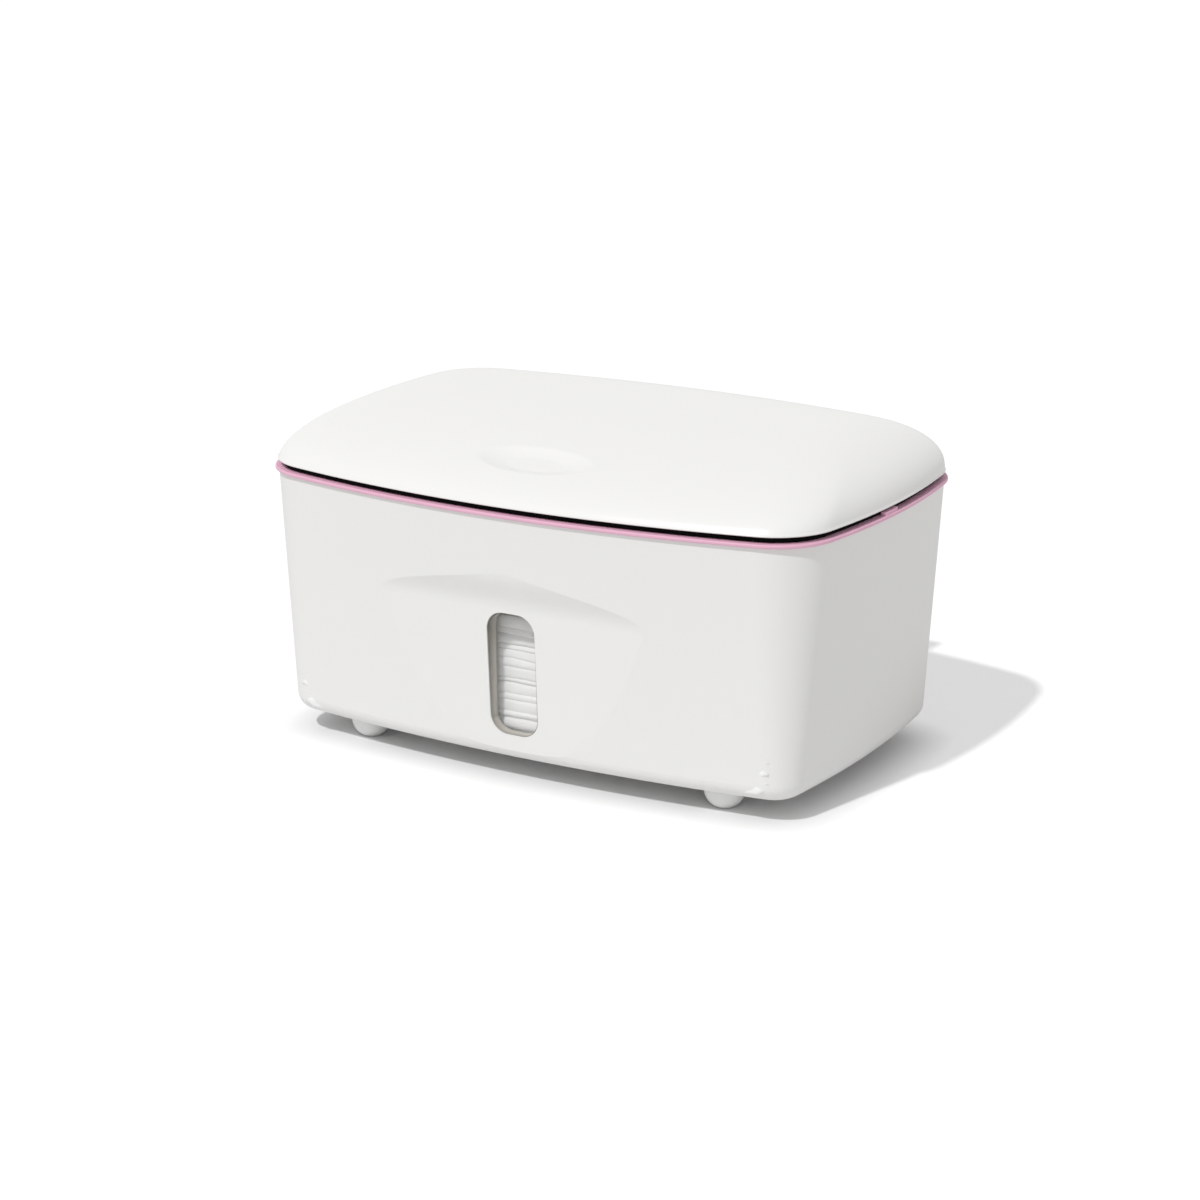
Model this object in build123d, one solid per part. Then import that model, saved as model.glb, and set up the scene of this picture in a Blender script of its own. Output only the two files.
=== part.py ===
from build123d import *
import math
import os

# Wipes dispenser, in millimetres.
# X runs along the length, the window and the finger dimple are in front at negative Y,
# the hinge is at the back, and Z = 0 is the surface that the four feet stand on.

# Overall size and the pink rim, which is the widest part of the object
total_height = 116.0
rim_length = 220.0
rim_depth = 146.0
rim_shift = -4.0
rim_height = 1.3
rim_overhang = 1.0
rim_front_bow = 15.7
rim_back_bow = 19.0
rim_side_bow = 9.4
rim_corner = 23.0

# Outline of the box at its bottom edge
base_length = 203.2
base_depth = 124.4
base_bottom = 7.5
base_front_bow = 7.8
base_back_bow = 10.0
base_side_bow = 4.7
base_corner = 10.8
base_edge_round = 6.0

# Flat scooped out of the bowed front, which ends in a soft brow above the window
scoop_depth = 2.8
scoop_top = 61.0
brow_height = 75.0

# Walls
box_wall = 2.6
box_floor = 2.8
lid_wall = 2.2

# Window in the front wall, with a flat frame inside it that carries the pane
window_width = 18.6
window_low = 17.0
window_high = 60.0
window_corner = 6.5
frame_border = 5.2
frame_rise = 0.6
pane_thickness = 1.6
pane_overlap = 3.4

# Rim seal with its lift tab, and the dark sealing lip that stands on it
seal_round = 0.5
seal_width = 6.6
seal_skirt = 1.4
seal_skirt_drop = 6.0
tab_width = 9.5
tab_thickness = 2.4
tab_height = 1.1
tab_centre = -10.0
tab_inset = 0.6
lip_inset = 3.2
lip_width = 2.6
lip_height = 1.7

# Lid, a low pillow whose sides rise full and whose front rises slowly
lid_gap = 2.1
lid_rise = 18.3
lid_roll_side = 40.0
lid_roll_front = 86.0
lid_side_power = 1.15
lid_front_power = 0.85
lid_steps = 12
liner_raise = 2.0
liner_thickness = 2.0
lid_screw_x = 84.0
lid_screw_y = 40.0

# Oval finger dimple that is pressed to open the lid, set square to the lid's slope
dimple_back = 24.0
dimple_length = 39.0
dimple_width = 17.0
dimple_depth = 2.0
dimple_sink = 7.5
dimple_tilt = 15.0

# Hinge along the back edge
hinge_y = 72.2
hinge_above = 2.8
hinge_length = 97.0
knuckle_radius = 4.8
end_knuckle = 12.0
lid_knuckle = 23.4
web_front = 65.5
web_above = 6.6
pin_radius = 1.6
bracket_drop = 0.4
bracket_height = 15.4
bracket_back = 76.8
bracket_round = 3.0
arm_front = 67.7
bracket_screw_x = 26.0
bracket_screw_above = 7.0

# Torsion springs round the hinge pin, and the half shell over them
spring_wire = 1.0
spring_radius = 2.9
spring_length = 9.3
spring_start = 1.4
spring_foot = 4.0
cover_wall = 0.8
cover_start = 2.2

# Feet
foot_x = 70.3
foot_y = 45.4
foot_radius = 7.0
foot_flat = 3.0
foot_stem = 3.2
foot_stem_length = 2.0

# Touch latch behind the front wall
latch_front = -69.6
latch_depth = 11.2
latch_width = 24.0
latch_drop = 1.8
latch_height = 16.8
latch_wall = 1.6
ear_width = 7.0
ear_thickness = 2.0
ear_above = 3.3
ear_height = 9.0
slider_above = 4.8
slider_height = 5.0
slider_travel = 3.0
jaw_width = 3.4
jaw_height = 5.4
bore_depth = 3.6
follower_radius = 0.8
latch_spring_radius = 2.2
latch_spring_wire = 0.8
striker_width = 5.0
striker_depth = 2.6
striker_above = 12.2
striker_head = 1.6
striker_overhang = 1.4
striker_flange = 4.0

# Weighted plate, its steel bars and the slot with a soft lip
plate_length = 190.0
plate_front_gap = 3.0
plate_back_gap = 4.6
plate_front_bow = 7.0
plate_side_bow = 4.0
plate_corner = 20.0
plate_wall = 1.8
plate_height = 8.0
slot_length = 62.0
slot_width = 15.0
slot_lip = 2.4
lip_stand = 0.8
collar_wall = 1.6
bar_length = 130.0
bar_width = 16.0
bar_height = 3.6
bar_y = 27.0
plate_screw_x = 82.0
plate_screw_y = 22.0

# Wipes
stack_length = 184.0
stack_back = 44.0
stack_top = 56.2
stack_front_gap = 0.5
stack_side_gap = 3.4
wipe_width = 44.0
wipe_thickness = 1.2
wipe_stand = 11.0

# Screws
screw_radius = 1.3
screw_head = 2.5
screw_head_height = 1.5
screw_length = 6.0
boss_radius = 3.0

# Clearances
fit = 0.05
running = 0.06
soft_gap = 0.35
side_play = 0.6

# Heights that follow from the sizes above
lid_bottom = total_height - lid_rise
rim_top = lid_bottom - lid_gap
rim_bottom = rim_top - rim_height
floor_top = base_bottom + box_floor
liner_bottom = lid_bottom + liner_raise
window_middle = (window_low + window_high) / 2
window_tall = window_high - window_low
frame_y = rim_shift - base_depth / 2 + box_wall + frame_rise
latch_back = latch_front + latch_depth
latch_middle = (latch_front + latch_back) / 2
hinge_z = lid_bottom + hinge_above
web_top = lid_bottom + web_above
bracket_top = rim_bottom - bracket_drop
bracket_low = bracket_top - bracket_height
bracket_screw_z = bracket_low + bracket_screw_above
latch_top = rim_bottom - latch_drop
latch_low = latch_top - latch_height
ear_low = latch_low + ear_above
ear_high = ear_low + ear_height
slider_low = latch_low + slider_above
slider_top = slider_low + slider_height
striker_low = latch_low + striker_above
dimple_y = rim_shift - rim_depth / 2 + dimple_back
dimple_surface = total_height - dimple_sink
plate_low = stack_top + soft_gap
plate_top = plate_low + plate_height
plate_front = frame_y + plate_front_gap
plate_back = rim_shift + base_depth / 2 - box_wall - plate_back_gap
plate_depth = plate_back - plate_front
plate_shift = (plate_front + plate_back) / 2
foot_places = [(x, rim_shift + y) for x in (-foot_x, foot_x) for y in (-foot_y, foot_y)]


def blend(low, high, share):
    """Value between low and high."""
    return low + (high - low) * share


def bow_radius(half, bow):
    """Radius of an arc that bows out by 'bow' over twice 'half'."""
    return (half * half + bow * bow) / (2 * bow)


def corner_points(half_x, half_y, long_radius, short_radius, corner):
    """Points of a corner arc tangent to a long side and a short side: its start, middle and end."""
    low = half_y - long_radius
    left = half_x - short_radius
    gap = math.hypot(left, low)
    reach_long = long_radius - corner
    reach_short = short_radius - corner
    along = (reach_long**2 - reach_short**2 + gap**2) / (2 * gap)
    across = math.sqrt(reach_long**2 - along**2)
    x = (left * along - low * across) / gap
    y = low + (-low * along - left * across) / gap
    start = math.atan2(y - low, x)
    end = math.atan2(y, x - left)
    turns = [start, (start + end) / 2, end]
    return [(x + corner * math.cos(t), y + corner * math.sin(t)) for t in turns]


def bowed(height, half_x, front, back, bows, corner, inset=0.0, shift=rim_shift):
    """Closed wire of eight tangent arcs, moved in by 'inset' all round."""
    front_bow, back_bow, side_bow = bows
    side = bow_radius((front + back) / 2, side_bow) - inset
    half = half_x - inset
    f = corner_points(half, front - inset, bow_radius(half_x, front_bow) - inset, side, corner - inset)
    b = corner_points(half, back - inset, bow_radius(half_x, back_bow) - inset, side, corner - inset)

    def arc(*points):
        return ThreePointArc(*[(x, y + shift, height) for x, y in points])

    front_right = [(x, -y) for x, y in f]
    front_left = [(-x, -y) for x, y in f]
    back_left = [(-x, y) for x, y in b]
    return Wire([
        arc(front_left[0], (0, inset - front), front_right[0]),
        arc(*front_right),
        arc(front_right[2], (half, 0), b[2]),
        arc(b[2], b[1], b[0]),
        arc(b[0], (0, back - inset), back_left[0]),
        arc(*back_left),
        arc(back_left[2], (-half, 0), front_left[2]),
        arc(front_left[2], front_left[1], front_left[0]),
    ])


def box_outline(height, inset=0.0):
    """Outline of the box's outer wall at a height."""
    share = (height - base_bottom) / (rim_bottom - base_bottom)
    half_x = blend(base_length / 2, rim_length / 2 - rim_overhang, share)
    half_y = wall_reach(height)
    bows = (
        blend(base_front_bow, rim_front_bow, share),
        blend(base_back_bow, rim_back_bow, share),
        blend(base_side_bow, rim_side_bow, share),
    )
    corner = blend(base_corner, rim_corner, share)
    return bowed(height, half_x, half_y, half_y, bows, corner, inset)


def wall_reach(height):
    """Half depth of the box, at the middle of its front and back, at a height."""
    share = (height - base_bottom) / (rim_bottom - base_bottom)
    return blend(base_depth / 2, rim_depth / 2 - rim_overhang, share)


def rim_outline(height, inset=0.0):
    """Outline of the pink rim."""
    bows = (rim_front_bow, rim_back_bow, rim_side_bow)
    return bowed(height, rim_length / 2, rim_depth / 2, rim_depth / 2, bows, rim_corner, inset)


def lid_outline(turn, wall=0.0):
    """Outline of the lid's pillow at a turn in degrees from its edge, 'wall' inside its surface."""
    angle = math.radians(turn)
    roll = 1 - math.cos(angle)
    side = rim_overhang + lid_roll_side * roll**lid_side_power + wall
    front = rim_overhang + lid_roll_front * roll**lid_front_power + wall
    height = lid_bottom + (lid_rise - wall) * math.sin(angle)
    half_x = rim_length / 2 - side
    half_y = (rim_depth - front - side) / 2
    share = 2 * half_y / rim_depth
    bows = (rim_front_bow * share, rim_back_bow * share, rim_side_bow * share)
    corner = min(rim_corner * half_x / (rim_length / 2), 0.7 * half_y)
    return bowed(height, half_x, half_y, half_y, bows, corner, shift=rim_shift + (front - side) / 2)


def plate_outline(height, inset=0.0):
    """Outline of the weighted plate."""
    bows = (plate_front_bow, plate_front_bow, plate_side_bow)
    half_y = plate_depth / 2
    return bowed(height, plate_length / 2, half_y, half_y, bows, plate_corner, inset, plate_shift)


def slab(wire, height):
    """Solid of a flat outline, extruded upwards."""
    return extrude(Face(wire), height, dir=(0, 0, 1))


def block(x_low, x_high, y_low, y_high, z_low, z_high):
    """Box between two corners."""
    centre = Pos((x_low + x_high) / 2, (y_low + y_high) / 2, (z_low + z_high) / 2)
    return centre * Box(x_high - x_low, y_high - y_low, z_high - z_low)


def rod_x(radius, x_low, x_high, y, z):
    """Cylinder along X."""
    return Pos((x_low + x_high) / 2, y, z) * Rot(0, 90, 0) * Cylinder(radius, x_high - x_low)


def rod_y(radius, x, y_low, y_high, z):
    """Cylinder along Y."""
    return Pos(x, (y_low + y_high) / 2, z) * Rot(90, 0, 0) * Cylinder(radius, y_high - y_low)


def rod_z(radius, x, y, z_low, z_high):
    """Cylinder along Z."""
    return Pos(x, y, (z_low + z_high) / 2) * Cylinder(radius, z_high - z_low)


def group(shapes):
    """Separate solids kept together as one node."""
    return Compound(children=[solid for shape in shapes for solid in shape.solids()])


def sides(value):
    """A place on the left and its mirror on the right."""
    return (-value, value)


def box_body(inset=0.0, low=base_bottom, high=rim_bottom):
    """Solid inside the box's tapered wall, moved in by 'inset'."""
    return loft([Face(box_outline(z, inset)) for z in (low, high)], ruled=True)


def front_scoop(inset=0.0):
    """Solid in front of the flat and its brow, whose face is moved in by 'inset'."""
    foot = (rim_shift - wall_reach(base_bottom) + inset, base_bottom)
    top = (rim_shift - wall_reach(scoop_top) + scoop_depth + inset, scoop_top)
    brow = (rim_shift - wall_reach(brow_height) + inset, brow_height)
    rise = (top[0] - foot[0], top[1] - foot[1])
    wall = (wall_reach(scoop_top) - wall_reach(brow_height), brow_height - scoop_top)
    curve = Spline(top, brow, tangents=[rise, wall])
    out = -rim_depth
    below = base_bottom - base_edge_round
    edges = [
        Line(foot, top), curve, Line(brow, (out, brow_height)), Line((out, brow_height), (out, below)),
        Line((out, below), (foot[0], below)), Line((foot[0], below), foot),
    ]
    side = Plane.YZ.offset(-rim_length / 2) * make_face(edges)
    return extrude(side, rim_length)


def window_tool(width, tall, corner, y_low, y_high):
    """Upright rounded slot as a solid between two Y places."""
    sketch = Plane.XZ.offset(-y_high) * Pos(0, window_middle) * RectangleRounded(width, tall, corner)
    return extrude(sketch, y_high - y_low)


def make_box_shell():
    """Tapered, bowed box with its window, foot sockets, latch bosses and hinge screw holes."""
    outer = box_body()
    outer = fillet(outer.edges().group_by(Axis.Z)[0], base_edge_round) - front_scoop()
    inner = box_body(box_wall, floor_top, rim_bottom + 1) - front_scoop(box_wall)
    border = window_width / 2 + frame_border
    top = window_high + frame_border
    inner -= block(-border, border, frame_y - 20, frame_y, floor_top - 1, top)
    for x in sides(latch_ear_middle()):
        inner -= rod_y(boss_radius, x, latch_front - 10, ear_front(), ear_middle())
    shell = outer - inner
    shell -= window_tool(window_width, window_tall, window_corner, -rim_depth, frame_y + 1)
    for x, y in foot_places:
        shell -= rod_z(foot_stem + fit, x, y, base_bottom - 1, base_bottom + foot_stem_length + fit)
    for x in sides(latch_ear_middle()):
        shell -= rod_y(screw_radius, x, ear_front() - screw_length, ear_front(), ear_middle())
    for x in sides(bracket_screw_x):
        shell -= rod_y(screw_radius, x, 0, rim_depth, bracket_screw_z)
    return shell


def latch_ear_middle():
    """X of the latch's screws."""
    return latch_width / 2 + ear_width / 2


def ear_front():
    """Y where the latch's ears meet the bosses of the box."""
    return latch_front + 4.0


def ear_middle():
    """Height of the latch's screws."""
    return (ear_low + ear_high) / 2


def make_window_pane():
    """Clear pane bonded to the flat frame inside the window."""
    width = window_width + 2 * pane_overlap
    tall = window_tall + 2 * pane_overlap
    return window_tool(width, tall, window_corner, frame_y, frame_y + pane_thickness)


def make_foot(x, y):
    """Soft dome foot with a small flat and a stem plugged into the floor."""
    centre = math.sqrt(foot_radius**2 - foot_flat**2)
    dome = Pos(x, y, centre) * Sphere(foot_radius)
    half = 2 * foot_radius
    foot = dome & block(x - half, x + half, y - half, y + half, 0, base_bottom)
    return foot + rod_z(foot_stem, x, y, base_bottom - 1, base_bottom + foot_stem_length)


def make_rim_seal():
    """Pink band on top of the wall, with a skirt inside the wall and a lift tab on the right."""
    band = slab(rim_outline(rim_bottom), rim_height)
    flat_edges = band.edges().group_by(Axis.Z)
    band = fillet(flat_edges[0] + flat_edges[-1], seal_round)
    band -= slab(rim_outline(rim_bottom - 1, seal_width), rim_height + 2)
    low = rim_bottom - seal_skirt_drop
    skirt = slab(box_outline(low, box_wall + fit), seal_skirt_drop + fit)
    skirt -= slab(box_outline(low, box_wall + fit + seal_skirt), seal_skirt_drop + fit)
    outside = rim_length / 2 - tab_inset
    tab = block(
        outside - tab_thickness, outside, tab_centre - tab_width / 2, tab_centre + tab_width / 2,
        rim_bottom + rim_height / 2, rim_top + tab_height,
    )
    tab = fillet(tab.edges().filter_by(Axis.Z), 1.0)
    return band + skirt + tab


def make_seal_lip():
    """Dark sealing lip that stands on the band, under the lid's edge."""
    outer = slab(rim_outline(rim_top, lip_inset), lip_height)
    return outer - slab(rim_outline(rim_top, lip_inset + lip_width), lip_height)


def lid_body(wall=0.0):
    """Solid inside the lid's surface, 'wall' below it."""
    turns = [90 * step / lid_steps for step in range(lid_steps + 1)]
    return loft([Face(lid_outline(turn, wall)) for turn in turns], ruled=True)


def dimple_tool(wall=0.0):
    """Flattened ball whose lowest part hollows the finger dimple."""
    radius = bow_radius(dimple_length / 2, dimple_depth)
    ball = scale(Sphere(radius + wall), by=(1, dimple_width / dimple_length, 1))
    return Pos(0, dimple_y, dimple_surface) * Rot(dimple_tilt, 0, 0) * Pos(0, 0, radius - dimple_depth) * ball


def knuckle_spans():
    """Start and end in X of the lid's two knuckles."""
    end = hinge_length / 2 - end_knuckle - side_play
    return [(-end, lid_knuckle - end), (end - lid_knuckle, end)]


def lid_screw_places():
    """Places of the screws that hold the liner."""
    return [(x, rim_shift + y) for x in sides(lid_screw_x) for y in sides(lid_screw_y)]


def make_lid_cover():
    """White pillow shell with the finger dimple and two hinge knuckles."""
    hollow = lid_body(lid_wall) + slab(lid_below(), 1 + fit)
    hollow -= dimple_tool(lid_wall)
    for x, y in lid_screw_places():
        hollow -= rod_z(boss_radius, x, y, liner_bottom + liner_thickness, total_height)
    cover = lid_body() - hollow - dimple_tool()
    for x, y in lid_screw_places():
        cover -= rod_z(screw_radius, x, y, liner_bottom, liner_bottom + screw_length)
    for low, high in knuckle_spans():
        cover += block(low, high, web_front, hinge_y, lid_bottom, web_top)
        cover += rod_x(knuckle_radius, low, high, hinge_y, hinge_z)
        cover -= rod_x(pin_radius + running, low - 1, high + 1, hinge_y, hinge_z)
    return cover


def lid_below():
    """Outline of the lid's opening, a little below its edge."""
    return lid_outline(0, lid_wall).moved(Pos(0, 0, -1))


def make_lid_liner():
    """Flat panel that closes the lid from below, with posts up to the cover."""
    half = rim_length
    layer = block(-half, half, -half, half, liner_bottom, liner_bottom + liner_thickness)
    liner = lid_body(lid_wall + 3 * fit) & layer
    for x, y in lid_screw_places():
        liner -= rod_z(screw_radius + fit, x, y, liner_bottom - 1, total_height)
    return liner


def make_lid_screws():
    """Four screws that hold the liner, with their heads below it."""
    return group([screw_z(x, y, liner_bottom, screw_length) for x, y in lid_screw_places()])


def screw_z(x, y, seat, length):
    """Screw driven upwards: a slotted head below 'seat' and a shank above it."""
    low = seat - screw_head_height
    screw = rod_z(screw_head, x, y, low, seat) + rod_z(screw_radius - fit, x, y, low, seat + length)
    return screw - block(x - screw_head, x + screw_head, y - 0.3, y + 0.3, low, low + 0.6)


def screw_y(x, z, seat, length):
    """Screw driven towards the front: a slotted head behind 'seat' and a shank in front of it."""
    end = seat + screw_head_height
    screw = rod_y(screw_head, x, seat, end, z) + rod_y(screw_radius - fit, x, seat - length, end, z)
    return screw - block(x - screw_head, x + screw_head, end - 0.6, end, z - 0.3, z + 0.3)


def make_lid_striker():
    """Flanged post under the liner, with a cross head that the latch catches."""
    half = striker_width / 2
    front = latch_middle - striker_depth / 2
    back = latch_middle + striker_depth / 2
    post = block(-half, half, front, back, striker_low, liner_bottom)
    wide = half + striker_overhang
    head = block(-wide, wide, front, back, striker_low, striker_low + striker_head)
    flange = block(
        -half - striker_flange, half + striker_flange, front, back + striker_flange,
        liner_bottom - striker_head, liner_bottom,
    )
    return post + head + flange


def make_hinge_bracket():
    """Plate behind the back wall, with an arm and a bored knuckle at each end."""
    half = hinge_length / 2
    plate = block(-half, half, 0, bracket_back, bracket_low, bracket_top)
    plate = fillet(plate.edges().filter_by(Axis.Y), bracket_round)
    bracket = plate - box_body(-fit)
    for low, high in [(-half, end_knuckle - half), (half - end_knuckle, half)]:
        arm = block(low, high, arm_front, hinge_y + knuckle_radius, bracket_top - 8, hinge_z)
        bracket += fillet(arm.edges().group_by(Axis.Z)[0].group_by(Axis.Y)[-1], 2.0)
        bracket += rod_x(knuckle_radius, low, high, hinge_y, hinge_z)
    bracket -= rod_x(pin_radius + fit, -half - 1, half + 1, hinge_y, hinge_z)
    for x in sides(bracket_screw_x):
        bracket -= rod_y(screw_radius, x, 0, bracket_back - 1.5, bracket_screw_z)
    return bracket


def make_hinge_pin():
    """Steel pin through all the knuckles."""
    half = hinge_length / 2 - side_play
    pin = rod_x(pin_radius, -half, half, hinge_y, hinge_z)
    return chamfer(pin.edges().filter_by(GeomType.CIRCLE), 0.3)


def make_hinge_spring(way):
    """Sleeve of close coils round the pin, with a leg down to the bracket and one under the lid."""
    inside = spring_radius - spring_wire / 2
    outside = spring_radius + spring_wire / 2
    ends = sorted((way * spring_start, way * (spring_start + spring_length)))
    coil = rod_x(outside, *ends, hinge_y, hinge_z) - rod_x(inside, *ends, hinge_y, hinge_z)
    near = way * (spring_start + spring_wire / 2)
    far = way * (spring_start + spring_length - spring_wire / 2)
    half = 0.4 * spring_wire
    down = block(
        near - half, near + half, hinge_y + spring_radius - half, hinge_y + spring_radius + half,
        bracket_top, hinge_z,
    )
    low = hinge_z - spring_radius
    forward = block(far - half, far + half, hinge_y - spring_foot, hinge_y, low - half, low + half)
    return coil + down + forward


def make_spring_cover():
    """Half shell behind the springs, standing on the bracket."""
    half = hinge_length / 2 - end_knuckle - lid_knuckle - 2 * side_play
    shell = rod_x(knuckle_radius, -half, half, hinge_y, hinge_z)
    shell -= rod_x(knuckle_radius - cover_wall, -half, half, hinge_y, hinge_z)
    reach = 2 * knuckle_radius
    shell &= block(-half, half, hinge_y + cover_start, hinge_y + reach, hinge_z - 1, hinge_z + reach)
    wall_y = hinge_y + knuckle_radius
    foot = block(-half, half, wall_y - 1.2, wall_y - 0.2, bracket_top, hinge_z)
    foot -= rod_x(knuckle_radius - cover_wall, -half, half, hinge_y, hinge_z)
    return shell + foot


def make_hinge_screws():
    """Screws from inside the box into the bracket."""
    screws = []
    for x in sides(bracket_screw_x):
        inside = back_wall_inside(x, bracket_screw_z)
        screws.append(mirror(screw_y(x, bracket_screw_z, -inside, screw_length), Plane.XZ))
    return group(screws)


def back_wall_inside(x, height):
    """Y of the back wall's inner face near a screw."""
    share = (height - base_bottom) / (rim_bottom - base_bottom)
    half_x = blend(base_length / 2, rim_length / 2 - rim_overhang, share)
    half_y = blend(base_depth / 2, rim_depth / 2 - rim_overhang, share)
    radius = bow_radius(half_x, blend(base_back_bow, rim_back_bow, share))
    reach = abs(x) + screw_head
    return rim_shift + half_y - radius - box_wall + math.sqrt(radius**2 - reach**2) - 0.4


def make_latch_housing():
    """Open-topped pocket with an ear on each side and a cam slot in its back wall."""
    half = latch_width / 2
    housing = block(-half, half, latch_front, latch_back, latch_low, latch_top)
    inner = half - latch_wall
    front = latch_front + latch_wall
    back = latch_back - latch_wall
    housing -= block(-inner, inner, front, back, latch_low + latch_wall, latch_top + 1)
    for way in (-1, 1):
        ends = sorted((way * (half - 0.5), way * (half + ear_width)))
        housing += block(*ends, ear_front() + fit, ear_front() + ear_thickness, ear_low, ear_high)
        x = way * latch_ear_middle()
        housing -= rod_y(screw_radius + fit, x, latch_front, latch_back, ear_middle())
    slot_half = follower_radius + running
    low = slider_low - slider_travel
    housing -= block(-slot_half, slot_half, back - 1, latch_back + 1, low, slider_top)
    return housing


def make_latch_screws():
    """Two screws through the latch's ears into the front wall's bosses."""
    seat = ear_front() + ear_thickness
    length = ear_thickness + screw_length - 1
    return group([screw_y(x, ear_middle(), seat, length) for x in sides(latch_ear_middle())])


def make_latch_slider():
    """Sprung slider with two jaws, bored from below for its spring."""
    half = latch_width / 2 - latch_wall - side_play / 2
    front = latch_front + latch_wall + side_play / 2
    back = latch_back - latch_wall - side_play / 2
    slider = block(-half, half, front, back, slider_low, slider_top)
    for low, high in [(-half, jaw_width - half), (half - jaw_width, half)]:
        slider += block(low, high, front, back, slider_top, slider_top + jaw_height)
    bore = latch_spring_radius + latch_spring_wire
    slider -= rod_z(bore, 0, latch_middle, slider_low - 1, slider_low + bore_depth)
    return slider - rod_y(follower_radius + fit, 0, back - 2, back + 1, follower_z())


def follower_z():
    """Height of the cam follower, in the solid top of the slider."""
    return slider_low + bore_depth + (slider_height - bore_depth) / 2


def make_latch_follower():
    """Steel cam follower that sticks out of the slider into the cam slot."""
    back = latch_back - latch_wall - side_play / 2
    return rod_y(follower_radius * 0.7, 0, back - 1.8, latch_back - 0.4, follower_z())


def make_latch_spring():
    """Sleeve of the slider's compression spring."""
    low = latch_low + latch_wall
    high = slider_low + bore_depth
    outside = latch_spring_radius + latch_spring_wire / 2
    sleeve = rod_z(outside, 0, latch_middle, low, high)
    return sleeve - rod_z(outside - latch_spring_wire, 0, latch_middle, low, high)


def slot_tool(grow, low, high):
    """Rounded dispensing slot as a solid, 'grow' larger all round."""
    width = slot_width + 2 * grow
    sketch = RectangleRounded(slot_length + 2 * grow, width, width / 2 - 0.1)
    return extrude(Pos(0, plate_shift, low) * sketch, high - low)


def plate_screw_places():
    """Places of the screws that hold the plate together."""
    return [(x, plate_shift + y) for x in sides(plate_screw_x) for y in sides(plate_screw_y)]


def make_plate_cover():
    """Upper shell of the weighted plate, with a collar round the slot and screw bosses."""
    cover = slab(plate_outline(plate_low), plate_height)
    cover = fillet(cover.edges().group_by(Axis.Z)[-1], 2.0)
    inner_top = plate_top - plate_wall
    hollow = slab(plate_outline(plate_low - 1, plate_wall), plate_height - plate_wall + 1)
    hollow -= slot_tool(collar_wall, plate_low - 1, plate_top)
    for x, y in plate_screw_places():
        hollow -= rod_z(boss_radius, x, y, plate_low + plate_wall, plate_top)
    cover = cover - hollow - slot_tool(0, plate_low - 1, plate_top + 1)
    for x, y in plate_screw_places():
        cover -= rod_z(screw_radius, x, y, plate_low - 1, inner_top)
    return cover


def make_plate_base():
    """Bottom panel of the weighted plate, inside the cover's rim."""
    base = slab(plate_outline(plate_low, plate_wall + fit), plate_wall)
    base -= slot_tool(collar_wall + fit, plate_low - 1, plate_top)
    for x, y in plate_screw_places():
        base -= rod_z(screw_radius + fit, x, y, plate_low - 1, plate_top)
        base -= rod_z(screw_head + fit, x, y, plate_low - 1, plate_low + plate_wall / 2)
    return base


def make_plate_screws():
    """Four screws with their heads sunk in the bottom panel."""
    seat = plate_low + plate_wall / 2
    length = plate_height - 2 * plate_wall
    return group([sunk_screw(x, y, seat, length) for x, y in plate_screw_places()])


def sunk_screw(x, y, seat, length):
    """Screw whose thin head lies flush with the bottom panel."""
    head = rod_z(screw_head, x, y, plate_low, seat)
    return head + rod_z(screw_radius - fit, x, y, seat, seat + length)


def make_plate_bars():
    """Two steel bars that give the plate its weight."""
    low = plate_low + plate_wall
    half = bar_length / 2
    bars = []
    for y in (plate_shift - bar_y, plate_shift + bar_y):
        bar = block(-half, half, y - bar_width / 2, y + bar_width / 2, low, low + bar_height)
        bars.append(fillet(bar.edges().filter_by(Axis.Z), 2.0))
    return group(bars)


def make_slot_lip():
    """Soft lip that lines the slot and grips the next wipe."""
    low = plate_low + 0.4
    lip = slot_tool(-fit, low, plate_top + lip_stand) + slot_tool(1.2, plate_top, plate_top + lip_stand)
    return lip - slot_tool(-slot_lip, low - 1, plate_top + lip_stand + 1)


def make_top_wipe():
    """The next wipe, drawn up through the slot."""
    half = wipe_width / 2
    y_low = plate_shift - wipe_thickness / 2
    wipe = block(-half, half, y_low, y_low + wipe_thickness, plate_low, plate_top + wipe_stand)
    return fillet(wipe.edges().filter_by(Axis.Y).group_by(Axis.Z)[-1], 4.0)


def make_wipes_stack():
    """Stack of folded wipes, in the shape of the box's floor."""
    front = frame_y + pane_thickness + stack_front_gap
    half = stack_length / 2
    rough = block(-half, half, front, stack_back, floor_top, stack_top)
    return rough & slab(box_outline(floor_top, stack_side_gap), stack_top - floor_top)


parts = {
    "box_shell": make_box_shell(),
    "window_pane": make_window_pane(),
    "rim_seal": make_rim_seal(),
    "seal_lip": make_seal_lip(),
    "hinge_bracket": make_hinge_bracket(),
    "hinge_pin": make_hinge_pin(),
    "hinge_screws": make_hinge_screws(),
    "spring_cover": make_spring_cover(),
    "hinge_spring_left": make_hinge_spring(-1),
    "hinge_spring_right": make_hinge_spring(1),
    "latch_housing": make_latch_housing(),
    "latch_screws": make_latch_screws(),
    "latch_slider": make_latch_slider(),
    "latch_follower": make_latch_follower(),
    "latch_spring": make_latch_spring(),
    "lid_cover": make_lid_cover(),
    "lid_liner": make_lid_liner(),
    "lid_screws": make_lid_screws(),
    "lid_striker": make_lid_striker(),
    "plate_cover": make_plate_cover(),
    "plate_base": make_plate_base(),
    "plate_bars": make_plate_bars(),
    "plate_screws": make_plate_screws(),
    "slot_lip": make_slot_lip(),
    "top_wipe": make_top_wipe(),
    "wipes_stack": make_wipes_stack(),
}
foot_names = ["foot_front_left", "foot_rear_left", "foot_front_right", "foot_rear_right"]
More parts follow.
